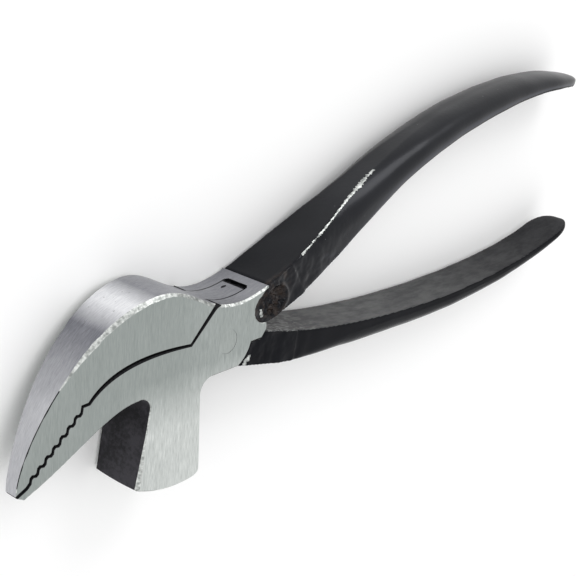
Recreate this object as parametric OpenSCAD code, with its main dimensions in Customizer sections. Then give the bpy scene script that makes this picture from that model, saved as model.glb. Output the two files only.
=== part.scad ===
// Shoemaker's lasting pincers with a box joint and a hammer peg under the lower jaw.
// Two forged halves cross in the joint and turn on one rivet.
// X runs from the nose towards the handles, Y from the hammer towards the upper jaw.
// Z is the pivot axis. The origin is on that axis, in the plane that the tool lies on.

/* [Box joint] */
// Width of the box joint, which is also the thickness of the lying tool
box_w = 14.4; // [13:0.2:16]
// Width of the slot that the tongue passes through
slot_w = 7; // [6:0.2:8]
// Play between the tongue and each cheek of the box
tongue_play = 0.05; // [0.03:0.01:0.1]
// Diameter of the rivet
rivet_d = 5.6; // [4:0.2:7]
// Radial clearance of the rivet in the tongue
rivet_play = 0.05; // [0.02:0.01:0.1]

/* [Nose] */
// Width of the nose at its tip
nose_w = 3.2; // [2.6:0.2:5]
// Gap between the closed jaws
jaw_gap = 0.5; // [0.4:0.05:0.7]
// Number of teeth in each jaw
teeth = 8; // [6:1:8]

/* [Hammer] */
// How far the striking face lies below the pivot axis
hammer_drop = 30.8; // [27:0.2:34]
// Radius of the striking face, seen along the pivot axis
face_bow_r = 33; // [28:1:60]
// Radius of the striking face across its width, where it is almost straight
face_cross_r = 90; // [60:1:120]

/* [Handles] */
// Width of each handle at mid-length
grip_w = 13.4; // [12:0.2:14]
// Height of the flat side bands of the handles
grip_side_h = 2.2; // [1.4:0.2:3]
// Length over which the upper handle's end is rounded off
upper_end_round = 21.5; // [14:0.5:26]
// Length over which the lower handle's end is rounded off
lower_end_round = 14; // [8:0.5:18]

/* [Hidden] */
$fn = 96;
mid_z = box_w / 2;
curve_steps = 14;
steel = [0.66, 0.68, 0.67];
rivet_steel = [0.6, 0.62, 0.61];
// How far cutting shapes run past what they cut, and how far half planes reach
overrun = 1;
reach = 60;

// Radii about the pivot axis that let the tongue half swing
cheek_r = 8;
shoulder_r = 8.35;
tongue_r = 8.5;
pocket_r = 8.8;
tongue_end_r = 12.7;
slot_end_r = 13.4;
cheek_corner_r = 9.9;
// Heights at which the cheek's corner, the tongue's end and the slot's end begin
cheek_corner_y = 5.3;
tongue_end_y = 2.7;
slot_floor_y = 2;
box_bottom_y = -7;
// Where the round back edges of the cheeks and of the lower handle's shoulder run, in degrees
cheek_top_a = -15.2;
shoulder_top_a = -17.4;
cheek_bottom_a = -61;

// The head's sides run parallel as far as taper_x, then curve in towards the nose tip
nose_x = -52.7;
taper_x = -10;
taper_lap = 0.01;
taper_run = taper_x - nose_x;
taper_in = (box_w - nose_w) / 2;
taper_r = (taper_run * taper_run + taper_in * taper_in) / (2 * taper_in);

function bezier(p, t) = pow(1 - t, 3) * p[0] + 3 * pow(1 - t, 2) * t * p[1]
    + 3 * (1 - t) * t * t * p[2] + t * t * t * p[3];
function stretch(p, from, to, steps = curve_steps) =
    [for (i = [0:steps]) bezier(p, mix(from, to, i / steps))];
function curve(p) = stretch(p, 0, 1);
function lead_in(p, share, steps) = [for (i = [1:steps]) bezier(p, share * i / steps)];
function arc(r, from, to, centre = [0, 0]) =
    [for (i = [0:curve_steps]) let (a = mix(from, to, i / curve_steps))
        centre + r * [cos(a), sin(a)]];
function reversed(list) = [for (i = [len(list) - 1:-1:0]) list[i]];
function moved(list, by) = [for (p = list) p + by];
function ramp(x, span) = min(1, max(0, (x - span[0]) / (span[1] - span[0])));
function mix(a, b, k) = a + (b - a) * k;

// The line between the closed jaws, from the nose tip to the joint's upper shoulder
tooth_top = [-38.9, -4];
tooth_step = [-1.53, -1.81];
tooth_drop = [-0.25, -1.9];
nose_end = [-52.6, -20.6];
tooth_line = [for (i = [teeth - 1:-1:0])
    each [tooth_top + i * tooth_step + tooth_drop, tooth_top + i * tooth_step]];
smooth_line = curve([[-37.4, -3.8], [-33, 1.8], [-25, 4], [-11.6, 2.4]]);
jaw_line = concat([nose_end], tooth_line, smooth_line);
gap_shift = jaw_gap * [-0.6, 0.9];

// Outer outlines of the head
back_curve = curve([[-52.6, -18.6], [-51.2, -8.5], [-39.2, 15.1], [-20, 15.6]]);
saddle = [[-20, 15.6], [-10.8, 15.6], [-6.9, 7.9], [4.5, 8.5]];
// Shares of the saddle's path at which the jaw's shoulder ends and the cheek begins
saddle_t = 0.02;
shoulder_t = 0.695;
cheek_t = 0.715;
nose_bottom = curve([[-51, -21.5], [-39.9, -14.7], [-32.9, -6.8], [-25.4, -6.6]]);

// Outer and inner faces of the handles, each in the plane of the tool
upper_outer = [[[4.5, 8.5], [19.2, 9.9], [37.2, 22.9], [59.3, 31.7]],
    [[59.3, 31.7], [85.5, 42.4], [128.6, 50.2], [157.2, 42.1]]];
upper_inner = [[[12.6, 1.2], [24, 2.1], [41.3, 13.9], [59.3, 23.1]],
    [[59.3, 23.1], [86.9, 37.5], [137.9, 44.7], [156.2, 38.5]]];
lower_inner = [[13.2, -1], [48.2, -12.1], [126.7, -16.2], [164.1, -3]];
lower_outer = [[4.1, -7.3], [44.8, -18.3], [123.2, -24], [165.4, -6.2]];
// Shares of those paths, from the joint, that the forged roots follow
upper_outer_root = 0.25;
upper_inner_root = 0.05;
lower_outer_root = 0.1;
lower_inner_root = 0.067;

// --- Handle bodies -------------------------------------------------------------------

// How far the handles' unground sides lie inside the ground sides of the box
root_step = 0.3;
grip_length = 168;
grip_rings = 26;
crown_steps = 8;
end_rings = 8;
// The last ring stops short of a quarter turn, so that the end keeps a small flat
end_angle = 80;
end_flatness = 0.4;
// Share of each handle's path, measured from the joint, where the swept body starts
grip_start = 0.07;
// Stretches along X over which the width and the side bands change
root_to_grip = [14, 40];
grip_to_end = [95, 145];
side_to_crown = [16, 62];
crown_to_end = [62, 150];
end_narrowing = 1.6;
root_side_h = 9;
end_side_share = 0.5;
min_crown = 0.3;

function along(paths, t) = let (n = len(paths), k = min(n - 1, floor(t * n)))
    bezier(paths[k], t * n - k);

// One cross-section: a flat inner face, two flat side bands and a crowned outer face
function grip_ring(inner, outer, half_w, side_h) =
    let (depth = norm(outer - inner), out = (outer - inner) / depth,
        side = min(side_h, depth - min_crown), crown = depth - side)
    concat([[inner, -half_w], [inner, half_w]],
        [for (i = [0:crown_steps]) let (a = 180 * i / crown_steps)
            [inner + out * (side + crown * sin(a)), half_w * cos(a)]]);

function grip_at(inner_path, outer_path, t, close) =
    let (inner = along(inner_path, t), outer = along(outer_path, t),
        flat = pow(close, end_flatness), x = (inner[0] + outer[0]) / 2,
        width = mix(mix(box_w - 2 * root_step, grip_w, ramp(x, root_to_grip)),
            grip_w - end_narrowing, ramp(x, grip_to_end)),
        side_h = mix(root_side_h, grip_side_h, ramp(x, side_to_crown))
            * mix(1, end_side_share, ramp(x, crown_to_end)))
    grip_ring(mix(outer, inner, flat), outer, close * width / 2, side_h * flat);

// The rings crowd together over the rounded end and shrink towards its outer face
function grip_stations(end_round) = let (body_end = 1 - end_round / grip_length)
    concat([for (i = [0:grip_rings]) [mix(grip_start, body_end, i / grip_rings), 1]],
        [for (i = [1:end_rings]) let (a = end_angle * i / end_rings)
            [mix(body_end, 1, sin(a)), cos(a)]]);

module grip(inner_path, outer_path, end_round) {
    // The rings run the same way round on both handles, so that every face looks outwards
    upward = outer_path[0][0][1] > inner_path[0][0][1];
    rings = [for (s = grip_stations(end_round))
        let (ring = grip_at(inner_path, outer_path, s[0], s[1])) upward ? reversed(ring) : ring];
    n = len(rings[0]);
    last = len(rings) - 1;
    points = [for (ring = rings, p = ring) [p[0][0], p[0][1], mid_z + p[1]]];
    sides = [for (k = [0:last - 1], i = [0:n - 1]) let (j = (i + 1) % n)
        each [[k * n + i, (k + 1) * n + i, (k + 1) * n + j],
            [k * n + i, (k + 1) * n + j, k * n + j]]];
    caps = [[for (i = [0:n - 1]) i], [for (i = [n - 1:-1:0]) last * n + i]];
    polyhedron(points, concat(sides, caps));
}

// --- Shared cutting shapes -----------------------------------------------------------

module above(y) {
    translate([-reach, y])
        square([2 * reach, reach]);
}

module below(y) {
    translate([-reach, y - reach])
        square([2 * reach, reach]);
}

module behind(x) {
    translate([x, -reach])
        square([reach, 2 * reach]);
}

// Plan of the ground head, seen along Y
module head_plan() {
    translate([0, reach, mid_z])
        rotate([90, 0, 0])
            linear_extrude(2 * reach) {
                intersection() {
                    translate([taper_x, taper_r - mid_z])
                        circle(taper_r, $fn = 360);
                    translate([taper_x, mid_z - taper_r])
                        circle(taper_r, $fn = 360);
                    translate([nose_x - overrun, -mid_z])
                        square([taper_run + overrun, box_w]);
                }
                translate([taper_x - taper_lap, -mid_z])
                    square([reach, box_w]);
            }
}

// A slab of the given width, centred between the two sides of the tool
module layer(width) {
    translate([0, 0, mid_z - width / 2])
        linear_extrude(width)
            children();
}

// Room that the swinging tongue needs inside the box
module slot_plan() {
    circle(pocket_r);
    intersection() {
        circle(slot_end_r);
        union() {
            above(slot_floor_y);
            behind(0);
        }
    }
}

// --- Hammer half: lower jaw, hammer, box and upper handle -----------------------------

hammer_left_top = [-22.2, -9.2];
hammer_left_foot = [-25.4, -31];
hammer_right_foot = [-6.6, -32];
// The striking face is lowest a little behind the middle of the hammer
face_low_x = -12.2;
// Height above the striking face at which its bow has run out of the hammer's sides
bow_h = 6;
// Fillets between the hammer and the box, and between the hammer and the lower jaw
neck_fillet = 3.4;
neck_x = -4.3;
nose_fillet = 2.7;
// Back edge of the cheeks under the upper handle's root
cheek_back = [[12.8, -0.3], [11.3, -2.1]];

module hammer_half_plan() {
    polygon(concat(
        moved(jaw_line, -gap_shift / 2),
        stretch(saddle, cheek_t, 1),
        lead_in(upper_outer[0], upper_outer_root, 6),
        stretch(upper_inner[0], upper_inner_root, 0, 3),
        cheek_back,
        arc(cheek_r, cheek_top_a, cheek_bottom_a),
        arc(neck_fillet, 90, 180, [neck_x, box_bottom_y - neck_fillet]),
        [hammer_right_foot, hammer_left_foot],
        arc(nose_fillet, 0, 90, hammer_left_top - [nose_fillet, 0]),
        reversed(nose_bottom)));
}

// A barrel whose lowest part makes the striking face
module bowed_face() {
    rotate_extrude($fn = 180)
        intersection() {
            translate([face_bow_r - face_cross_r, 0])
                circle(face_cross_r, $fn = 240);
            translate([0, -box_w / 2 - overrun])
                square([face_bow_r, box_w + 2 * overrun]);
        }
}

module hammer_half_head() {
    intersection() {
        linear_extrude(box_w)
            intersection() {
                hammer_half_plan();
                // Keeps the cheeks' upper corner inside the swing of the jaw's shoulder
                union() {
                    circle(cheek_corner_r);
                    below(cheek_corner_y);
                    behind(0);
                }
            }
        head_plan();
        union() {
            translate([face_low_x, face_bow_r - hammer_drop, mid_z])
                bowed_face();
            layer(box_w + 2 * overrun)
                above(bow_h - hammer_drop);
        }
    }
}

module hammer_half() {
    color(steel)
        difference() {
            union() {
                hammer_half_head();
                grip(upper_inner, upper_outer, upper_end_round);
            }
            layer(slot_w)
                slot_plan();
            translate([0, 0, -overrun])
                cylinder(d = rivet_d, h = box_w + 2 * overrun);
        }
}

// --- Tongue half: upper jaw, tongue and lower handle ----------------------------------

// Back edge of the tongue, and of the lower handle's root below the cheeks
tongue_back = [15, -1.6];
root_back = [[13.2, -1], [11.4, -2.5]];
tongue_bottom_x = [4, -20];

module upper_jaw_plan() {
    polygon(concat(
        reversed(moved(jaw_line, gap_shift / 2)),
        back_curve,
        stretch(saddle, saddle_t, shoulder_t)));
}

module tongue_plan() {
    intersection() {
        union() {
            circle(tongue_r);
            intersection() {
                circle(tongue_end_r);
                union() {
                    above(tongue_end_y);
                    behind(0);
                }
            }
        }
        polygon(concat(
            curve(saddle),
            lead_in(upper_outer[0], upper_outer_root, 6),
            [tongue_back],
            stretch(lower_outer, lower_outer_root, 0, 4),
            [for (x = tongue_bottom_x) [x, box_bottom_y]]));
    }
}

module lower_root_plan() {
    polygon(concat(
        root_back,
        arc(shoulder_r, shoulder_top_a, cheek_bottom_a),
        lead_in(lower_outer, lower_outer_root, 4),
        stretch(lower_inner, lower_inner_root, 0, 4)));
}

module tongue_half() {
    color(steel)
        difference() {
            union() {
                intersection() {
                    linear_extrude(box_w)
                        upper_jaw_plan();
                    head_plan();
                }
                layer(slot_w - 2 * tongue_play)
                    tongue_plan();
                layer(box_w - 2 * root_step)
                    lower_root_plan();
                grip([lower_inner], [lower_outer], lower_end_round);
            }
            translate([0, 0, -overrun])
                cylinder(d = rivet_d + 2 * rivet_play, h = box_w + 2 * overrun);
        }
}

// --- Rivet, hammered tight in the cheeks and ground flush ------------------------------

module pivot_rivet() {
    color(rivet_steel)
        cylinder(d = rivet_d, h = box_w);
}

hammer_half();
tongue_half();
pivot_rivet();
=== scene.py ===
"""Lasting pincers with a hammer peg: two forgings that turn on a rivet.

Shapes are worked out in millimetres in the CAD frame and scaled to metres at the end.
"""

import math

import bmesh
import bpy
import numpy as np
from mathutils import Matrix, Vector, noise


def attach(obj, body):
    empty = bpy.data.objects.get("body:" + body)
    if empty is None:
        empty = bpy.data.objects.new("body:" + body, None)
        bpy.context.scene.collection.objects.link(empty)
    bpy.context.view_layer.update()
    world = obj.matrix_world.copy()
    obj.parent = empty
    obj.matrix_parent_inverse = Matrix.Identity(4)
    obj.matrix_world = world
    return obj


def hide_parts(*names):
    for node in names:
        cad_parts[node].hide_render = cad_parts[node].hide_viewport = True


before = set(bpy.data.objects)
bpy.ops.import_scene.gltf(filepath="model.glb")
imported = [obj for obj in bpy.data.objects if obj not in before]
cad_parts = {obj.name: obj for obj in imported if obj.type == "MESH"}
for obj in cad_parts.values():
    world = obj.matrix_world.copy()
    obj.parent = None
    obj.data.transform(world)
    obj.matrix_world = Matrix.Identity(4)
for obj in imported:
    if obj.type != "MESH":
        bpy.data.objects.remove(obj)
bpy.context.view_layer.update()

MM = 0.001
# Half thicknesses of the box, the slot and the handles' roots
HALF = 7.2
SLOT = 3.5
ROOT_HALF = 6.9
# Room beside the tongue in the slot, on each side
PLAY = 0.16
# Height of the middle plane
MID = HALF
# From this place to the nose, the sides of the head follow arcs of this radius
TAPER_X = -10.0
TAPER_R = 165.6
# Edge length of the grid that fuses a handle
VOXEL = 0.3
# Points of an outline that are closer than this are one point
SAME_POINT = 0.02

# Radii about the pivot axis
RIVET_R = 2.8
CHEEK_LOW_R = 8.0
LOWER_ROOT_R = 8.35
TONGUE_EYE_R = 8.5
SLOT_EYE_R = 8.8
CHEEK_CORNER_R = 9.9
TONGUE_END_R = 12.6
TONGUE_TOP_R = 12.7
SLOT_R = 13.4
UPPER_ROOT_R = 13.5
SLOT_MOUTH_R = 13.75

# The hammer face is a barrel: its bow along the tool, its bow across, and the first bow's centre
FACE_BOW_R = 33
FACE_CROSS_R = 90
FACE_CENTRE = (-12.2, 2.2)
# The face lies below this height, between these ends, under the hammer's straight left side
FACE_START_Y = -27.5
FACE_ENDS = (-24.7, -8.4)
HAMMER_LEFT = ([-22.2, -9.2], [-24.97, -28.1])
# Round inner corners of the hammer's neck, and of the notch between it and the lower jaw
NECK_R = 3.4
NECK_CENTRE = (-4.3, -10.4)
NOTCH_R = 2.7
NOTCH_CENTRE = (-24.9, -9.2)

# Materials, by their place in the list that build() makes
GROUND, EDGE, BACK, DARK, ENAMEL, MATT, LOWER_ENAMEL = range(7)


# --- Outlines, in the plane of the tool -----------------------------------------------


def bezier(p, t):
    p = np.array(p, float)
    t = np.atleast_1d(t)[:, None]
    return (1 - t) ** 3 * p[0] + 3 * (1 - t) ** 2 * t * p[1] + 3 * (1 - t) * t * t * p[2] + t**3 * p[3]


def stretch(p, start, end, steps):
    return bezier(p, np.linspace(start, end, steps + 1))


def arc(r, start, end, steps, centre=(0, 0)):
    a = np.radians(np.linspace(start, end, steps + 1))
    return np.c_[centre[0] + r * np.cos(a), centre[1] + r * np.sin(a)]


def chaikin(points, rounds=2):
    """Cuts the corners of an open line, and keeps its ends."""
    p = np.array(points, float)
    for _ in range(rounds):
        a, b = 0.75 * p[:-1] + 0.25 * p[1:], 0.25 * p[:-1] + 0.75 * p[1:]
        p = np.vstack([p[:1], np.stack([a, b], 1).reshape(-1, 2), p[-1:]])
    return p


# The number of teeth, the top of the first, the step to the next, and the drop to its valley
TEETH = 8
TOOTH_TOP = np.array([-38.9, -4.0])
TOOTH_STEP = np.array([-1.53, -1.81])
TOOTH_DROP = np.array([-0.25, -1.9])
# Each jaw stands this far off the line between them
GAP = 0.5 * np.array([-0.6, 0.9]) / 2
# Curves of the outlines, as four control points each
SMOOTH = [[-37.4, -3.8], [-33, 1.8], [-25, 4], [-11.6, 2.4]]
BACK_CURVE = [[-52.6, -18.6], [-51.2, -8.5], [-39.2, 15.1], [-20, 15.6]]
SADDLE = [[-20, 15.6], [-10.8, 15.6], [-6.9, 7.9], [4.5, 8.5]]
NOSE_BOTTOM = [[-51, -21.5], [-39.9, -14.7], [-32.9, -6.8], [-25.4, -6.6]]
UPPER_OUTER = [[[4.5, 8.5], [19.2, 9.9], [37.2, 22.9], [59.3, 31.7]],
               [[59.3, 31.7], [85.5, 42.4], [128.6, 50.2], [157.2, 42.1]]]
UPPER_INNER = [[[12.6, 1.2], [24, 2.1], [41.3, 13.9], [59.3, 23.1]],
               [[59.3, 23.1], [86.9, 37.5], [137.9, 44.7], [156.2, 38.5]]]
LOWER_INNER = [[[13.2, -1], [48.2, -12.1], [126.7, -16.2], [164.1, -3]]]
LOWER_OUTER = [[[4.1, -7.3], [44.8, -18.3], [123.2, -24], [165.4, -6.2]]]
# Where the ground side face stops and the black forging of the upper handle's root starts
GROUND_END = [[12.4, 10.18], [11.4, 9.3], [10.4, 8.2], [8.9, 7.2],
              [8.1, 5.0], [8.8, 2.9], [10.6, 1.6], [12.6, 1.3]]


def teeth_line():
    """The zigzag between the jaws, from the nose to the last tooth."""
    rows = [[-52.6, -20.6]]
    for i in range(TEETH - 1, -1, -1):
        rows += [TOOTH_TOP + i * TOOTH_STEP + TOOTH_DROP, TOOTH_TOP + i * TOOTH_STEP]
    return chaikin(rows, 1)


def half_width(x):
    """Half the thickness of the head, which tapers along an arc towards the nose."""
    run = np.clip(TAPER_X - np.asarray(x, float), 0, None)
    return HALF - (TAPER_R - np.sqrt(TAPER_R**2 - run**2))


# --- Slabs: closed outlines with a chamfer of their own along each run ------------------


def joined(runs):
    """Runs of (points, (wall, chamfer) materials, chamfer or (far, near) chamfers) as one ring."""
    points, mats, cuts = [], [], []
    for run, mat, cut in runs:
        run = np.atleast_2d(run)
        mat = mat if isinstance(mat, tuple) else (mat, DARK if mat == DARK else EDGE)
        far, near = cut if isinstance(cut, tuple) else (cut, cut)
        for p, c in zip(run, np.c_[np.broadcast_to(far, len(run)), np.broadcast_to(near, len(run))]):
            if points and np.linalg.norm(points[-1] - p) < SAME_POINT:
                mats[-1] = mat
                continue
            points.append(p)
            mats.append(mat)
            cuts.append(c)
    if np.linalg.norm(points[0] - points[-1]) < SAME_POINT:
        points, mats, cuts = points[:-1], mats[:-1], cuts[:-1]
    return np.array(points), mats, np.array(cuts)


def inward(points):
    """Unit mitre vectors to the inside of a ring that runs counterclockwise."""
    ahead = np.roll(points, -1, 0) - points
    ahead /= np.linalg.norm(ahead, axis=1)[:, None]
    normal = np.c_[-ahead[:, 1], ahead[:, 0]]
    before = np.roll(normal, 1, 0)
    spread = np.clip(1 + (normal * before).sum(1), 0.45, None)
    return (normal + before) / spread[:, None]


def area(points):
    x, y = points.T
    return 0.5 * np.sum(x * np.roll(y, -1) - y * np.roll(x, -1))


def slab(name, runs, low, high, stations=()):
    """A plate between two heights, with each run's chamfers, cut across at the stations."""
    points, mats, cuts = joined(runs)
    if area(points) < 0:
        points, cuts = points[::-1], cuts[::-1]
        # A wall belongs to the point that it starts from, and in a reversed ring ends at
        mats = mats[-2::-1] + mats[-1:]
    far, near = cuts.T
    turn = inward(points)
    levels = [(points + turn * far[:, None], low + 0 * far), (points, low + far),
              (points, high - near), (points + turn * near[:, None], high + 0 * near)]
    bm = bmesh.new()
    rings = [[bm.verts.new((p[0], p[1], z)) for p, z in zip(xy, zs)] for xy, zs in levels]
    n = len(points)
    for k in range(3):
        for i in range(n):
            j = (i + 1) % n
            face = bm.faces.new((rings[k][i], rings[k][j], rings[k + 1][j], rings[k + 1][i]))
            face.material_index = mats[i][k != 1]
    bm.faces.new(rings[0][::-1]).material_index = GROUND
    bm.faces.new(rings[3]).material_index = GROUND
    for x in stations:
        cut_across(bm, (x, 0, 0), (1, 0, 0))
    return to_object(name, bm)


def cut_across(bm, point, normal):
    bmesh.ops.bisect_plane(bm, geom=bm.verts[:] + bm.edges[:] + bm.faces[:], dist=1e-4,
                           plane_co=point, plane_no=normal)


def to_object(name, bm):
    mesh = bpy.data.meshes.new(name)
    bm.to_mesh(mesh)
    bm.free()
    obj = bpy.data.objects.new(name, mesh)
    bpy.context.scene.collection.objects.link(obj)
    return obj


def coords(obj):
    co = np.empty(len(obj.data.vertices) * 3)
    obj.data.vertices.foreach_get("co", co)
    return co.reshape(-1, 3)


def set_coords(obj, co):
    obj.data.vertices.foreach_set("co", co.ravel())
    obj.data.update()


def taper(obj):
    """Pulls the sides of the head in towards the nose."""
    co = coords(obj)
    co[:, 2] = MID + (co[:, 2] - MID) * half_width(co[:, 0]) / HALF
    set_coords(obj, co)


def settle(obj):
    """Replaces an object's mesh by what its modifiers make of it."""
    made = bpy.data.meshes.new_from_object(obj.evaluated_get(bpy.context.evaluated_depsgraph_get()))
    obj.modifiers.clear()
    obj.data = made


def carve(obj, *cutters):
    for cutter in cutters:
        mod = obj.modifiers.new("cut", "BOOLEAN")
        mod.operation, mod.solver, mod.object = "DIFFERENCE", "EXACT", cutter
    bpy.context.view_layer.update()
    settle(obj)
    for cutter in cutters:
        bpy.data.objects.remove(cutter)


def merge(name, parts):
    """One object from several, each with the same list of materials."""
    bm = bmesh.new()
    for part in parts:
        bm.from_mesh(part.data)
        bpy.data.objects.remove(part)
    return to_object(name, bm)


# --- The ground head of the hammer half ------------------------------------------------


def rough(count, low, high, seed):
    """Chamfer widths that wander between two sizes, as hand grinding leaves them."""
    wander = [noise.noise(Vector((i * 0.37, seed, 0))) for i in range(count)]
    return low + (high - low) * (0.5 + 0.5 * np.clip(np.array(wander) * 1.8, -1, 1))


def seam_cut(count):
    """The jaws' inner corners are eased most halfway along the smooth part."""
    return 0.15 + 0.17 * np.sin(np.linspace(0, math.pi, count))


def wavy(points, size):
    """A hand-ground boundary: the line wanders a little between its fixed ends."""
    drift = [size * noise.noise(Vector((p[0] * 1.3, p[1] * 1.3, 4))) for p in points]
    fade = np.sin(np.linspace(0, math.pi, len(points))) ** 0.5
    return points + np.c_[drift * fade, 0 * fade]


def cheek_corner():
    """The seam from the jaw line's end up to the saddle, with the corner cut round."""
    start = np.array(SMOOTH[3]) - GAP
    end = bezier(SADDLE, 0.715)[0]
    seam = start + np.linspace(0, 1, 200)[:, None] * (end - start)
    inside = (np.linalg.norm(seam, axis=1) <= CHEEK_CORNER_R) | (seam[:, 1] < 5.3)
    last = seam[np.flatnonzero(inside)[-1]]
    saddle = stretch(SADDLE, 0.715, 1, 60)
    saddle = saddle[np.linalg.norm(saddle, axis=1) <= CHEEK_CORNER_R]
    a, b = (math.degrees(math.atan2(p[1], p[0])) for p in (last, saddle[0]))
    return np.vstack([start, last]), arc(CHEEK_CORNER_R, a, b, 3), saddle


def hammer_head_runs():
    """The outline of the lower jaw, the box and the hammer peg, from the nose over the top."""
    seam, corner, saddle = cheek_corner()
    top = stretch(UPPER_OUTER[0], 0, 0.3, 59)
    top = top[top[:, 0] < GROUND_END[0][0] - 0.05]
    smooth = stretch(SMOOTH, 0, 1, 40)
    left = np.linspace(*HAMMER_LEFT, 12)
    # The left corner's bevel widens towards the face
    bevel = 0.2 + 0.6 * np.clip((-15 - left[:, 1]) / 12, 0, 1)
    foot_x = np.linspace(*FACE_ENDS, 24)
    foot = np.c_[foot_x, face_height(foot_x, 0)]
    return [
        # The jaw line, its seam and their chamfers are black forging, darkened also as painted shade for
        # the gap between the jaws
        (teeth_line() - GAP, DARK, 0.14),
        (smooth - GAP, DARK, seam_cut(len(smooth))),
        (seam, DARK, 0.17),
        (corner, DARK, 0.1),
        (saddle, BACK, rough(len(saddle), 0.4, 0.6, 7)),
        (top, BACK, 0.42),
        (wavy(chaikin(GROUND_END, 3), 0.22), ENAMEL, 0.12),
        (np.array([[12.8, -0.3], [11.3, -2.1]]), ENAMEL, 0.2),
        (arc(CHEEK_LOW_R, -15.2, -61, 12), DARK, 0.15),
        (arc(NECK_R, 90, 180, 10, NECK_CENTRE), MATT, 0.25),
        (np.array([[-6.75, -29.0], [-6.92, -29.65], [-7.5, -30.2]]), EDGE, 0.3),
        (foot[::-1], GROUND, 0.3),
        (foot[:1], EDGE, 0.3),
        (left[:1:-1], (MATT, EDGE), (0.25, bevel[:1:-1])),
        (left[1::-1], MATT, 0.2),
        (arc(NOTCH_R, 0, 90, 10, NOTCH_CENTRE), MATT, 0.2),
        (stretch(NOSE_BOTTOM, 1, 0.02, 36), MATT, 0.2),
        (stretch(NOSE_BOTTOM, 0.02, 0, 1), BACK, 0.1),
    ]


def face_height(x, w):
    """Y of the hammer face at a place along the tool and a distance from the middle plane."""
    bow = FACE_BOW_R - (FACE_CROSS_R - np.sqrt(FACE_CROSS_R**2 - w**2))
    return FACE_CENTRE[1] - np.sqrt(bow**2 - (x - FACE_CENTRE[0]) ** 2)


def slot_cutter():
    """The slot through the box, eased at the mouth beside the upper handle."""
    rest = np.vstack([arc(SLOT_R, 20, -90, 30), arc(SLOT_EYE_R, -90, -193.1, 40)])
    runs = [
        (arc(SLOT_R, 171.4, 75, 20), DARK, 0.0),
        (arc(SLOT_MOUTH_R, 72, 20, 16), DARK, 0.7),
        (rest, DARK, 0.0),
    ]
    return slab("slot", runs, MID - SLOT, MID + SLOT)


def bore_cutter():
    return slab("bore", [(arc(RIVET_R, 0, 360, 64)[:-1], DARK, 0.0)], -1, 2 * HALF + 1)


def ground_stations():
    """Places where the head is cut across, so that its sides can follow the taper."""
    return list(np.arange(-52.2, TAPER_X, 0.8))


def hammer_head():
    """Lower jaw, box and hammer, with the hammer face bowed across as well as along."""
    head = slab("head", hammer_head_runs(), 0, 2 * HALF, ground_stations())
    bm = bmesh.new()
    bm.from_mesh(head.data)
    for z in np.linspace(1.2, 2 * HALF - 1.2, 11):
        cut_across(bm, (0, 0, z), (0, 0, 1))
    bm.to_mesh(head.data)
    bm.free()
    co = coords(head)
    foot = co[:, 1] < FACE_START_Y
    x, w = co[foot, 0], co[foot, 2] - MID
    co[foot, 1] += face_height(x, w) - face_height(x, 0 * w)
    set_coords(head, co)
    taper(head)
    carve(head, slot_cutter(), bore_cutter())
    return head


# --- The ground head of the tongue half: upper jaw and tongue ---------------------------


def upper_jaw():
    """The upper jaw; its hump has a broad hand-ground bevel that dies out towards the nose."""
    back = stretch(BACK_CURVE, 0, 1, 60)
    tip, hump = back[back[:, 1] < 0], back[back[:, 1] >= 0]
    saddle = stretch(SADDLE, 0.02, 0.695, 30)
    smooth = stretch(SMOOTH, 0, 1, 40)
    runs = [
        # The jaw line, its seam and their chamfers are black forging, darkened also as painted shade for
        # the gap between the jaws
        ((smooth + GAP)[::-1], DARK, seam_cut(len(smooth))),
        ((teeth_line() + GAP)[:0:-1], DARK, 0.14),
        (teeth_line()[:1] + GAP, BACK, 0.1),
        (tip, (BACK, DARK), rough(len(tip), 0.12, 0.26, 8)),
        (hump, BACK, 0.16 + (rough(len(hump), 0.65, 1.0, 3) - 0.16) * np.clip(hump[:, 1] / 9, 0, 1)),
        (saddle, BACK, rough(len(saddle), 0.5, 0.75, 5)),
    ]
    jaw = slab("jaw", runs, 0, 2 * HALF, ground_stations())
    taper(jaw)
    return jaw


def tongue():
    """The tongue that runs through the slot, with its top flush in the saddle."""
    outer = bezier(LOWER_OUTER[0], np.linspace(0, 0.1, 12))
    outer = outer[np.linalg.norm(outer, axis=1) < TONGUE_END_R]
    top = np.vstack([stretch(SADDLE, 0.695, 1, 20), stretch(UPPER_OUTER[0], 0, 0.12, 10)])
    top = top[np.linalg.norm(top, axis=1) < TONGUE_TOP_R]
    low, high = (math.degrees(math.atan2(p[1], p[0])) for p in (outer[-1], top[-1]))
    runs = [
        (np.array([[-12.2, 3.4], [-8.1, 2.7]]), DARK, 0.0),
        (arc(TONGUE_EYE_R, 161.5, 235.4, 24), DARK, 0.0),
        (outer, DARK, 0.0),
        (arc(TONGUE_END_R, low, high, 24), DARK, 0.6),
        (top[::-1], (BACK, DARK), 0.16),
        (np.array([[-6.5, 8.5]]), DARK, 0.05),
    ]
    body = slab("tongue", runs, MID - SLOT + PLAY, MID + SLOT - PLAY)
    carve(body, bore_cutter(), dimple_cutter())
    return body


def dimple_cutter():
    """A small punch mark in the top of the tongue, near its end."""
    bm = bmesh.new()
    bmesh.ops.create_uvsphere(bm, u_segments=20, v_segments=12, radius=1.0)
    for v in bm.verts:
        v.co = Vector((6.6 + 0.85 * v.co.x, 8.72 + 0.4 * v.co.y, MID - 1.2 + 0.42 * v.co.z))
    for face in bm.faces:
        face.material_index = MATT
    return to_object("dimple", bm)


# --- Enamelled handles, fused from a root and a swept body ------------------------------


def table(x, rows):
    """A value read off between the rows of (x, value)."""
    xs, ys = zip(*rows)
    return np.interp(x, xs, ys)


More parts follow.
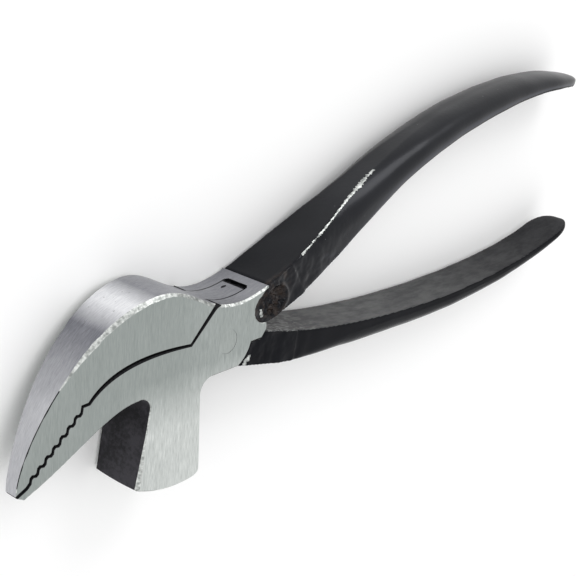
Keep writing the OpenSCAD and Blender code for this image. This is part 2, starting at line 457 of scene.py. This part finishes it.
# Along X: half the width of a handle's outer face, and the height at which its sides crown over
UPPER_FACET = [(14, 6.85), (20, 6.8), (27, 6.5), (35, 5.5), (43, 4.0), (51, 3.0), (59, 2.6),
               (75, 1.6), (100, 0.8), (160, 0.4)]
UPPER_SIDE = [(14, 9), (22, 7), (30, 5.4), (40, 4.0), (62, 2.9), (100, 2.7), (155, 2.2)]
LOWER_SIDE = [(14, 9), (26, 8), (35, 5.8), (46, 3.5), (62, 2.2), (100, 1.8), (160, 1.2)]
LOWER_FACET = [(14, 6.85), (26, 6.75), (36, 5.2), (46, 3.4), (70, 1.2), (160, 0.3)]
# Turns millimetres at a handle's end into a share of its curves, which are 152 to 164 long
HANDLE_RUN = 168


def upper_shape(x):
    """Side height, outer face, roundness, ridge and cut inner corner of the upper handle."""
    roundness = table(x, [(45, 0.25), (60, 0.5), (90, 1)])
    return table(x, UPPER_SIDE), table(x, UPPER_FACET), roundness, 0.0, table(x, [(38, 0), (58, 0.8)])


def lower_shape(x):
    """The same for the lower handle, which has a faint ridge and a sharp inner corner."""
    roundness = table(x, [(20, 0.6), (50, 0.95)])
    return table(x, LOWER_SIDE), table(x, LOWER_FACET), roundness, table(x, [(40, 0.0), (55, 0.16)]), 0.0


def section(depth, half, side, facet, roundness, ridge, cut):
    """Half a cross-section as (height from the inner face, half width), inner face first."""
    side = min(side, depth - 0.4)
    rows = [(0, half * k) for k in (0.0, 0.35, 0.7)]
    rows += [(0.0, half - 0.35 - 0.5 * cut), (0.12 + 0.3 * cut, half - 0.1 - 0.42 * cut)]
    rise = 0.4 + 0.5 * cut
    rows += [(rise, half - 0.3 * cut)]
    rows += [(rise + (side - 0.2 - rise) * k, half - cut * c) for k, c in ((0.35, 0.15), (0.7, 0.05))]
    rows += [(side - 0.2, half), (side, half + ridge), (side + 0.2, half)]
    for i in range(1, 13):
        a = math.pi / 2 * i / 12
        rise = (1 - roundness) * i / 12 + roundness * math.sin(a)
        rows.append((side + (depth - side) * rise, facet + (half - facet) * math.cos(a)))
    rows += [(depth, facet * k) for k in (0.66, 0.33, 0.0)]
    return rows


def along(paths, t):
    k = min(len(paths) - 1, int(t * len(paths)))
    return bezier(paths[k], t * len(paths) - k)[0]


def ring_at(inner_path, outer_path, t, close, shape_at):
    """One cross-section; near the handle's end it closes towards the outer face."""
    inner, outer = along(inner_path, t), along(outer_path, t)
    middle = (inner + outer) / 2
    x = middle[0]
    half = table(x, [(14, ROOT_HALF), (40, 6.7), (95, 6.7), (145, 5.9)])
    flat = close**0.4
    depth = np.linalg.norm(outer - inner)
    out = (outer - inner) / depth
    rows = section(depth, half, *shape_at(x))
    base = inner + out * depth * (1 - flat)
    near = [(base + out * h * flat, w * close) for h, w in rows]
    far = [(p, -w) for p, w in near[-2:0:-1]]
    return [(p[0], p[1], MID + w) for p, w in near + far]


def sweep(inner_path, outer_path, start, end_round, shape_at):
    """A handle's body between two curves, rounded over about its last end_round millimetres."""
    body_end = 1 - end_round / HANDLE_RUN
    stations = [(t, 1.0) for t in np.linspace(start, body_end, 110)]
    for i in range(1, 17):
        a = math.radians(86 * i / 16)
        stations.append((body_end + (1 - body_end) * math.sin(a), math.cos(a)))
    bm = bmesh.new()
    rings = []
    for t, close in stations:
        ring = ring_at(inner_path, outer_path, t, close, shape_at)
        rings.append([bm.verts.new(p) for p in ring])
    n = len(rings[0])
    for a, b in zip(rings, rings[1:]):
        for i in range(n):
            bm.faces.new((a[i], a[(i + 1) % n], b[(i + 1) % n], b[i]))
    bm.faces.new(rings[0][::-1])
    bm.faces.new(rings[-1])
    bmesh.ops.recalc_face_normals(bm, faces=bm.faces[:])
    return to_object("sweep", bm)


def fuse(name, parts):
    """One closed skin over overlapping parts, a little softened."""
    body = merge(name, parts)
    mod = body.modifiers.new("fuse", "REMESH")
    mod.mode, mod.voxel_size, mod.adaptivity = "VOXEL", VOXEL, 0.0
    soft = body.modifiers.new("soft", "SMOOTH")
    soft.factor, soft.iterations = 0.5, 2
    bpy.context.view_layer.update()
    settle(body)
    return body


def upper_root():
    """The upper handle's root: a plate on each cheek, and one behind the slot."""
    inner = stretch(UPPER_INNER[0], 0, 0.34, 10)
    outer = stretch(UPPER_OUTER[0], 0, 0.34, 24)
    outer = outer[outer[:, 0] > 12.5]
    under = np.array([[10.2, 7.6], [7.5, 6.6], [7.2, 5.0], [7.9, 2.4], [10.2, 0.9]])
    corner = [[12.42, 9.6]]
    ring = np.vstack([outer[::-1], corner, under, inner])
    middle = np.vstack([outer[::-1], corner, arc(UPPER_ROOT_R, 34, 5.2, 16), inner[2:]])
    cheek = HALF - SLOT
    return [
        slab("root_a", [(ring, ENAMEL, 0.05)], HALF - ROOT_HALF, cheek),
        slab("root_b", [(ring, ENAMEL, 0.05)], 2 * HALF - cheek, HALF + ROOT_HALF),
        slab("root_c", [(middle, ENAMEL, 0.0)], cheek - 0.2, 2 * HALF - cheek + 0.2),
    ]


def lower_root():
    """The lower handle's root, nearly as wide as the box, close round the cheeks."""
    ring = np.vstack([[[13.2, -1], [11.4, -2.5]], arc(LOWER_ROOT_R, -17.4, -61, 12),
                      stretch(LOWER_OUTER[0], 0, 0.145, 12), stretch(LOWER_INNER[0], 0.1, 0, 10)])
    return [slab("root", [(ring, ENAMEL, 0.05)], HALF - ROOT_HALF, HALF + ROOT_HALF)]


def wave(points, scale, seed):
    return np.array([noise.noise(Vector(p * scale) + Vector((seed, 0, 0))) for p in points])


def forge(obj, root_x, blend, lumps, skin):
    """Hammered lumps on the root, fading into the faint waviness of the handle."""
    co = coords(obj)
    normal = np.empty(len(co) * 3)
    obj.data.vertices.foreach_get("normal", normal)
    normal = normal.reshape(-1, 3)
    fade = np.clip((root_x + blend - co[:, 0]) / blend, 0, 1)
    side = np.clip(np.abs(normal[:, 2]) * 1.5 - 0.4, 0, 1)
    coarse, fine = wave(co, 0.34, 3.1), wave(co, 1.1, 9.7)
    depth = fade * side * lumps * (0.9 * coarse + 0.2 * fine - 0.25) + skin * wave(co, 0.12, 5.5)
    set_coords(obj, co + normal * depth[:, None])


def press_oval(obj, centre, radii, tilt, depth):
    """A plain oval forging mark: a raised rim round a rough sunken field."""
    co = coords(obj)
    c, s = math.cos(tilt), math.sin(tilt)
    dx, dy = co[:, 0] - centre[0], co[:, 1] - centre[1]
    u, v = (c * dx + s * dy) / radii[0], (-s * dx + c * dy) / radii[1]
    r = np.hypot(u, v)
    front = co[:, 2] > MID + 5
    rim = np.exp(-(((r - 1) / 0.1) ** 2)) + 0.6 * np.exp(-(((r - 0.74) / 0.07) ** 2))
    field = np.clip((0.95 - r) / 0.15, 0, 1)
    grit = wave(co, 1.9, 21.0)
    raised = 0.6 * rim * depth - field * depth * (0.5 + 1.2 * grit)
    co[:, 2] = np.minimum(co[:, 2] + front * raised, 2 * HALF - 0.1)
    set_coords(obj, co)


def paint(obj, material):
    obj.data.polygons.foreach_set("material_index", np.full(len(obj.data.polygons), material, np.int32))


def upper_handle():
    """The handle of the hammer half, with the oval mark and its crease bare, partly worn and partly a
    painted glint.
    """
    parts = upper_root()
    parts.append(sweep(UPPER_INNER, UPPER_OUTER, start=0.14, end_round=21.5, shape_at=upper_shape))
    handle = fuse("upper_handle", parts)
    forge(handle, root_x=20, blend=26, lumps=0.42, skin=0.12)
    press_oval(handle, centre=(15.2, 5.7), radii=(4.5, 3.8), tilt=0.38, depth=0.55)
    paint(handle, ENAMEL)
    # Bare steel on the oval's rim: partly a chip, partly a painted glint
    chip_and_glint(handle, Vector((10.3, 4.8)), Vector((10.9, 3.1)), size=0.26)
    # Bare crease: partly worn enamel, partly a painted glint
    crease_wear_and_glint(handle)
    return handle


def lower_handle():
    """The handle of the tongue half, chipped beside the cheek."""
    parts = lower_root()
    parts.append(sweep(LOWER_INNER, LOWER_OUTER, start=0.09, end_round=14, shape_at=lower_shape))
    handle = fuse("lower_handle", parts)
    forge(handle, root_x=14, blend=20, lumps=0.3, skin=0.1)
    paint(handle, LOWER_ENAMEL)
    chip_and_glint(handle, Vector((6.2, -7.6)), Vector((7.8, -6.1)), size=0.62)
    return handle


def crease_wear_and_glint(handle):
    """Bare steel along the crease of the outer face, widest and patchy just before it ends: worn enamel,
    and a painted glint along the crease.
    """
    start, end = 24, 54
    line = np.vstack([stretch(k, 0, 1, 200) for k in UPPER_OUTER])
    for face in handle.data.polygons:
        c = face.center
        if start < c.x < end and c.z > MID:
            off_y = c.y - np.interp(c.x, line[:, 0], line[:, 1])
            off_z = c.z - MID - table(c.x, UPPER_FACET)
            patchy = 1 + 1.2 * noise.noise(c * 1.7) * table(c.x, [(43, 0.0), (48, 0.8)])
            width = patchy * table(c.x, [(start, 0.45), (34, 0.36), (43, 0.34), (49, 0.6), (end, 0.2)])
            if math.hypot(off_y, off_z) < width:
                face.material_index = EDGE


def chip_and_glint(handle, a, b, size):
    """Bare steel on the near side about the line from a to b: where the enamel has come off, and on the
    oval's rim partly a painted glint.
    """
    along_chip = b - a
    for face in handle.data.polygons:
        at = face.center.xy - a
        share = min(1, max(0, at.dot(along_chip) / along_chip.length_squared))
        ragged = size * (1 + 0.7 * noise.noise(face.center * 1.1))
        if face.center.z > MID + 5 and (at - share * along_chip).length < ragged:
            face.material_index = EDGE


# --- Rivet -----------------------------------------------------------------------------


def rivet():
    """A turned pin whose two ends are ground nearly flush and slightly crowned."""
    profile = [(0, 0.0), (1.2, 0.0), (2.2, 0.005)]
    profile += [(RIVET_R - short, z) for short, z in ((0.1, 0.01), (0.015, 0.04), (0.005, 0.4))]
    rows = profile + [(RIVET_R - 0.02, HALF)] + [(r, 2 * HALF - z) for r, z in profile[::-1]]
    bm = bmesh.new()
    count = 64
    rings = []
    for r, z in rows:
        if r == 0:
            rings.append([bm.verts.new((0, 0, z))])
        else:
            rings.append([bm.verts.new((x, y, z)) for x, y in arc(r, 0, 360, count)[:-1]])
    for a, b in zip(rings, rings[1:]):
        for i in range(count):
            j = (i + 1) % count
            corners = (a[i % len(a)], b[i % len(b)], b[j % len(b)], a[j % len(a)])
            bm.faces.new(list(dict.fromkeys(corners)))
    bmesh.ops.recalc_face_normals(bm, faces=bm.faces[:])
    return to_object("pivot_rivet_flush", bm)


# --- Materials -------------------------------------------------------------------------


class Nodes:
    """A short way to write a node tree."""

    def __init__(self, name):
        self.material = bpy.data.materials.new(name)
        self.material.use_nodes = True
        self.tree = self.material.node_tree
        self.shader = self.tree.nodes["Principled BSDF"]
        coordinates = self.tree.nodes.new("ShaderNodeTexCoord").outputs
        self.place, self.facing = coordinates["Object"], coordinates["Normal"]

    def link(self, value, socket):
        if isinstance(value, bpy.types.NodeSocket):
            self.tree.links.new(value, socket)
        else:
            socket.default_value = value

    def stretched(self, scale):
        node = self.tree.nodes.new("ShaderNodeMapping")
        self.link(self.place, node.inputs["Vector"])
        node.inputs["Scale"].default_value = scale
        return node.outputs["Vector"]

    def along(self, axis, of=None):
        node = self.tree.nodes.new("ShaderNodeSeparateXYZ")
        self.link(of or self.place, node.inputs["Vector"])
        return node.outputs[axis]

    def noise(self, scale, detail=3.0, rough=0.55):
        node = self.tree.nodes.new("ShaderNodeTexNoise")
        self.link(self.stretched(scale), node.inputs["Vector"])
        node.inputs["Scale"].default_value = 1.0
        node.inputs["Detail"].default_value = detail
        node.inputs["Roughness"].default_value = rough
        return node.outputs["Fac"]

    def cells(self, scale):
        node = self.tree.nodes.new("ShaderNodeTexVoronoi")
        self.link(self.stretched((scale,) * 3), node.inputs["Vector"])
        node.inputs["Scale"].default_value = 1.0
        return node.outputs["Distance"]

    def span(self, value, low, high, to_low=0.0, to_high=1.0):
        node = self.tree.nodes.new("ShaderNodeMapRange")
        names = ("Value", "From Min", "From Max", "To Min", "To Max")
        for name, v in zip(names, (value, low, high, to_low, to_high)):
            self.link(v, node.inputs[name])
        return node.outputs["Result"]

    def math(self, kind, a, b):
        node = self.tree.nodes.new("ShaderNodeMath")
        node.operation = kind
        self.link(a, node.inputs[0])
        self.link(b, node.inputs[1])
        return node.outputs[0]

    def times(self, a, b):
        return self.math("MULTIPLY", a, b)

    def mix(self, share, a, b):
        node = self.tree.nodes.new("ShaderNodeMix")
        node.data_type = "RGBA"
        for socket, v in zip((node.inputs[0], node.inputs[6], node.inputs[7]), (share, a, b)):
            self.link((*v, 1.0) if isinstance(v, tuple) else v, socket)
        return node.outputs[2]

    def bump(self, height, strength, distance):
        node = self.tree.nodes.new("ShaderNodeBump")
        self.link(height, node.inputs["Height"])
        node.inputs["Strength"].default_value = strength
        node.inputs["Distance"].default_value = distance
        self.link(node.outputs["Normal"], self.shader.inputs["Normal"])

    def set(self, **values):
        for name, v in values.items():
            self.link((*v, 1.0) if isinstance(v, tuple) else v, self.shader.inputs[name.replace("_", " ")])


def grinding(m):
    """Fine lines across the tool, as (the lines, their share of light and dark)."""
    stroke = (6800, 400, 700)
    fine, broad = m.noise(stroke, 4.0, 0.6), m.noise(tuple(s * 0.22 for s in stroke), 2.0)
    lines = m.math("ADD", m.times(fine, 0.75), m.times(broad, 0.25))
    return lines, m.span(lines, 0.36, 0.64)


def brush(m, lines, tone, dark, groove):
    """Ground steel with its lines in colour, roughness and relief, under a faint cloudiness."""
    cloud = m.noise((60, 60, 60), 2.0)
    m.set(Base_Color=m.mix(m.span(cloud, 0.35, 0.65, 0.0, 0.14), tone, dark), Metallic=1.0,
          Roughness=m.span(lines, 0.3, 0.7, 0.47, 0.35))
    m.bump(lines, groove, 0.00004)
    return m.material


def ground_steel():
    """The ground side faces: darker on the jaws than on the box, and much lighter on the hammer."""
    m = Nodes("ground_steel")
    light, dark = (0.42, 0.45, 0.438), (0.29, 0.318, 0.306)
    lines, share = grinding(m)
    x = m.along("X")
    tone = m.mix(m.span(x, -0.006, -0.016, 0.0, 0.5), m.mix(share, dark, light), dark)
    hammer = m.times(m.span(m.along("Y"), -0.003, -0.016), m.span(x, -0.031, -0.024))
    tone = m.mix(hammer, tone, m.mix(share, (0.5, 0.525, 0.51), (0.76, 0.785, 0.765)))
    return brush(m, lines, tone, dark, 0.5)


def back_steel():
    """Coarser grinding on the narrow sides, a painted highlight across the hump, lighter towards the nose,
    and dark nicks.
    """
    m = Nodes("back_steel")
    fine, broad = m.noise((520, 520, 6800), 4.0, 0.65), m.noise((110, 110, 110), 2.0)
    nick = m.times(m.span(m.noise((950, 950, 2400), 2.0), 0.7, 0.75), m.span(broad, 0.42, 0.6, 0.15, 1.0))
    x, share = m.along("X"), m.span(fine, 0.34, 0.66)
    # Painted highlight: a bright band of base colour across the hump, and a lighter nose
    hump = m.math("MINIMUM", m.span(x, -0.0345, -0.0285, 0.1, 1.0), m.span(x, -0.0265, -0.021, 1.0, 0.22))
    highlight_share = m.math("MAXIMUM", hump, m.span(x, -0.046, -0.036, 0.5, 0.1))
    highlight_share = m.math("ADD", highlight_share, m.span(broad, 0.3, 0.7, -0.05, 0.05))
    dull = m.mix(share, (0.1, 0.102, 0.122), (0.178, 0.182, 0.21))
    bright = m.mix(share, (0.71, 0.715, 0.74), (0.91, 0.915, 0.93))
    m.set(Base_Color=m.mix(m.times(nick, 0.7), m.mix(highlight_share, dull, bright), (0.05, 0.045, 0.05)),
          Metallic=1.0, Roughness=m.span(fine, 0.3, 0.7, 0.44, 0.3))
    m.bump(fine, 1.0, 0.00005)
    return m.material


def edge_steel():
    """Bare hand-ground bevels and worn places, some of them standing partly for painted glints, grainy and
    bright.
    """
    m = Nodes("edge_steel")
    grit, patch = m.noise((1500, 1500, 1500), 4.0, 0.7), m.noise((1100, 1100, 1100), 2.0)
    tone = m.mix(m.span(patch, 0.35, 0.65), (0.27, 0.285, 0.275), (0.66, 0.68, 0.66))
    m.set(Base_Color=tone, Metallic=1.0, Roughness=m.span(grit, 0.3, 0.7, 0.28, 0.5))
    m.bump(grit, 0.9, 0.0001)
    return m.material


def dark_oxide_and_gap_shade():
    """Black unground forging inside the joint and the slot, and along the seam between the jaws, where it
    is also painted shade for the gap.
    """
    m = Nodes("dark_oxide_and_gap_shade")
    grit = m.noise((1800, 1800, 1800), 4.0, 0.65)
    tone = m.mix(m.span(grit, 0.35, 0.65), (0.005, 0.005, 0.006), (0.02, 0.02, 0.022))
    m.set(Base_Color=tone, Specular_IOR_Level=0.08, Roughness=m.span(grit, 0.3, 0.7, 0.6, 0.8))
    m.bump(grit, 0.5, 0.00005)
    return m.material


DUST = (0.22, 0.22, 0.23)


def enamelled(name):
    """What both enamels share: the black film, the dust specks in it and its orange peel."""
    m = Nodes(name)
    peel, cloud = m.noise((900, 900, 900), 3.0), m.noise((45, 45, 45), 3.0)
    dust = m.span(m.cells(520), 0.035, 0.075, 1.0, 0.0)
    specks = m.times(dust, m.span(m.noise((170, 170, 170), 2.0), 0.55, 0.62))
    film = m.mix(m.span(cloud, 0.35, 0.65), (0.003, 0.0033, 0.0046), (0.0066, 0.007, 0.009))
    m.set(Coat_Weight=0.08, Coat_Roughness=0.08, Specular_Tint=(0.88, 0.91, 1.0))
    return m, film, specks, peel


def upper_enamel():
    """Browned and pitted in the forging mark, with a painted bluish sheen where the side turns down."""
    m, film, specks, peel = enamelled("upper_enamel")
    x, down = m.along("X"), m.along("Y", m.facing)
    on_root = m.times(m.span(x, 0.018, 0.021, 0.75, 0.0), m.span(m.along("Z"), 0.0125, 0.0134))
    # Painted sheen: a lighter bluish film where the side begins to turn down
    painted_sheen = m.math("MINIMUM", m.span(down, -0.03, -0.14), m.span(down, -0.38, -0.28))
    film = m.mix(m.times(painted_sheen, m.span(x, 0.028, 0.04)), film, (0.024, 0.0255, 0.034))
    rust = m.times(m.span(m.noise((420, 420, 420), 3.0), 0.44, 0.6), on_root)
    shine = m.times(m.span(x, 0.015, 0.05, 0.1, 0.24), m.span(x, 0.06, 0.13, 1.0, 0.68))
    m.set(Base_Color=m.mix(specks, m.mix(rust, film, (0.032, 0.023, 0.018)), DUST),
          Roughness=m.span(x, 0.018, 0.045, 0.13, 0.3),
          Specular_IOR_Level=m.times(shine, m.span(down, -0.28, -0.4, 1.0, 0.05)))
    pits = m.times(m.noise((1300, 1300, 1300), 3.0, 0.6), on_root)
    m.bump(m.math("ADD", pits, m.times(peel, 0.12)), 0.8, 0.00025)
    return m.material


def lower_enamel():
    """Black on the sides; the inner face is rubbed grey, most of all near the joint."""
    m, film, specks, peel = enamelled("lower_enamel")
    x, inward = m.along("X"), m.span(m.along("Y", m.facing), 0.66, 0.86)
    streak, cloud = m.noise((260, 1900, 900), 4.0, 0.65), m.noise((150, 330, 330), 3.0)
    wear = m.span(m.math("ADD", m.times(streak, 0.45), m.times(cloud, 0.55)), 0.4, 0.6)
    near = m.mix(wear, (0.045, 0.045, 0.047), (0.1, 0.101, 0.1))
    far = m.mix(wear, (0.005, 0.005, 0.0065), (0.017, 0.017, 0.019))
    scratch = m.times(m.span(streak, 0.5, 0.58), m.span(x, 0.018, 0.038, 0.85, 0.0))
    rubbed = m.mix(scratch, m.mix(m.span(x, 0.06, 0.145), near, far), (0.3, 0.3, 0.295))
    shine = m.times(m.span(inward, 0.0, 1.0, 0.02, 0.14), m.span(x, 0.06, 0.145, 1.0, 0.6))
    m.set(Base_Color=m.mix(inward, m.mix(specks, film, DUST), rubbed),
          Roughness=m.span(inward, 0.0, 1.0, 0.2, 0.5), Specular_IOR_Level=shine)
    m.bump(peel, 0.3, 0.00006)
    return m.material


def matt_scale():
    """Unground black forging on the sides of the hammer and the notch."""
    m = Nodes("matt_scale")
    grain, cloud = m.noise((1000, 1000, 1000), 4.0, 0.65), m.noise((130, 130, 130), 3.0)
    tone = m.math("ADD", m.times(grain, 0.5), m.times(cloud, 0.5))
    m.set(Base_Color=m.mix(m.span(tone, 0.42, 0.58), (0.005, 0.0048, 0.007), (0.036, 0.034, 0.041)),
          Roughness=m.span(grain, 0.3, 0.7, 0.5, 0.68), Specular_IOR_Level=0.25)
    m.bump(grain, 0.45, 0.00006)
    return m.material


def rivet_steel():
    """Ground together with the cheeks, and a shade lighter."""
    m = Nodes("rivet_steel")
    light, dark = (0.43, 0.46, 0.445), (0.31, 0.338, 0.325)
    lines, share = grinding(m)
    return brush(m, lines, m.mix(share, dark, light), dark, 0.45)


def finish_piece(obj, made, body, node):
    """Scales to metres, keeps ground faces flat, and hangs the piece on its CAD body."""
    obj.data.transform(Matrix.Scale(MM, 4))
    old = np.empty(len(obj.data.polygons), np.int32)
    obj.data.polygons.foreach_get("material_index", old)
    used = sorted(set(old.tolist()))
    for i in used:
        obj.data.materials.append(made[i])
    obj.data.polygons.foreach_set("material_index", np.searchsorted(used, old).astype(np.int32))
    smooth = [made[i] is not made[GROUND] for i in old]
    obj.data.polygons.foreach_set("use_smooth", smooth)
    obj.data.set_sharp_from_angle(angle=math.radians(28))
    obj.data.update()
    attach(obj, body)
    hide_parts(node)
    return obj


def build():
    made = [ground_steel(), edge_steel(), back_steel(), dark_oxide_and_gap_shade(),
            upper_enamel(), matt_scale(), lower_enamel()]
    hammer = merge("hammer_half_forging", [hammer_head(), upper_handle()])
    jaw = merge("tongue_half_forging", [upper_jaw(), tongue(), lower_handle()])
    pin = rivet()
    finish_piece(hammer, made, "hammer_side", "hammer_half")
    finish_piece(jaw, made, "tongue_side", "tongue_half")
    finish_piece(pin, [rivet_steel()], "hammer_side", "pivot_rivet")


# --- Floor, light and camera -----------------------------------------------------------


def floor():
    bm = bmesh.new()
    bmesh.ops.create_grid(bm, x_segments=1, y_segments=1, size=3.0)
    obj = to_object("floor", bm)
    # A hair under the tool, so that the two share no plane
    obj.location.z = -0.0002
    m = Nodes("pale_floor")
    m.set(Base_Color=(0.93, 0.93, 0.93), Roughness=0.9)
    obj.data.materials.append(m.material)


def softbox(name, place, aim, size, power):
    data = bpy.data.lights.new(name, "AREA")
    data.shape, data.size, data.size_y, data.energy = "RECTANGLE", *size, power
    obj = bpy.data.objects.new(name, data)
    obj.location = place
    obj.rotation_euler = (Vector(aim) - Vector(place)).to_track_quat("-Z", "Y").to_euler()
    bpy.context.scene.collection.objects.link(obj)


def light():
    world = bpy.data.worlds.new("studio")
    world.use_nodes = True
    world.node_tree.nodes["Background"].inputs[0].default_value = (1, 1, 1, 1)
    world.node_tree.nodes["Background"].inputs[1].default_value = 1.0
    bpy.context.scene.world = world
    bpy.context.scene.view_settings.view_transform = "Standard"
    softbox("overhead", (-1.0, 0.35, 1.1), (0.04, 0.02, 0), (1.7, 1.7), 2.5)
    softbox("rear", (0.28, 0.62, 0.4), (-0.02, 0.01, 0.01), (0.35, 0.25), 1.1)


def camera():
    data = bpy.data.cameras.new("camera")
    data.sensor_width, data.lens = 36, 75
    obj = bpy.data.objects.new("camera", data)
    bpy.context.scene.collection.objects.link(obj)
    eye, target = Vector((-0.1801, 0.1052, 0.1731)), Vector((0.0194, 0.0079, 0.0142))
    ahead = (target - eye).normalized()
    right = ahead.cross(Vector((0, 1, 0))).normalized()
    up = right.cross(ahead)
    roll = math.radians(5.09)
    right, up = (right * math.cos(roll) + up * math.sin(roll), up * math.cos(roll) - right * math.sin(roll))
    turn = Matrix((right, up, -ahead)).transposed()
    obj.matrix_world = Matrix.Translation(eye) @ turn.to_4x4()
    data.clip_start, data.clip_end = 0.01, 10
    bpy.context.scene.camera = obj


build()
floor()
light()
camera()
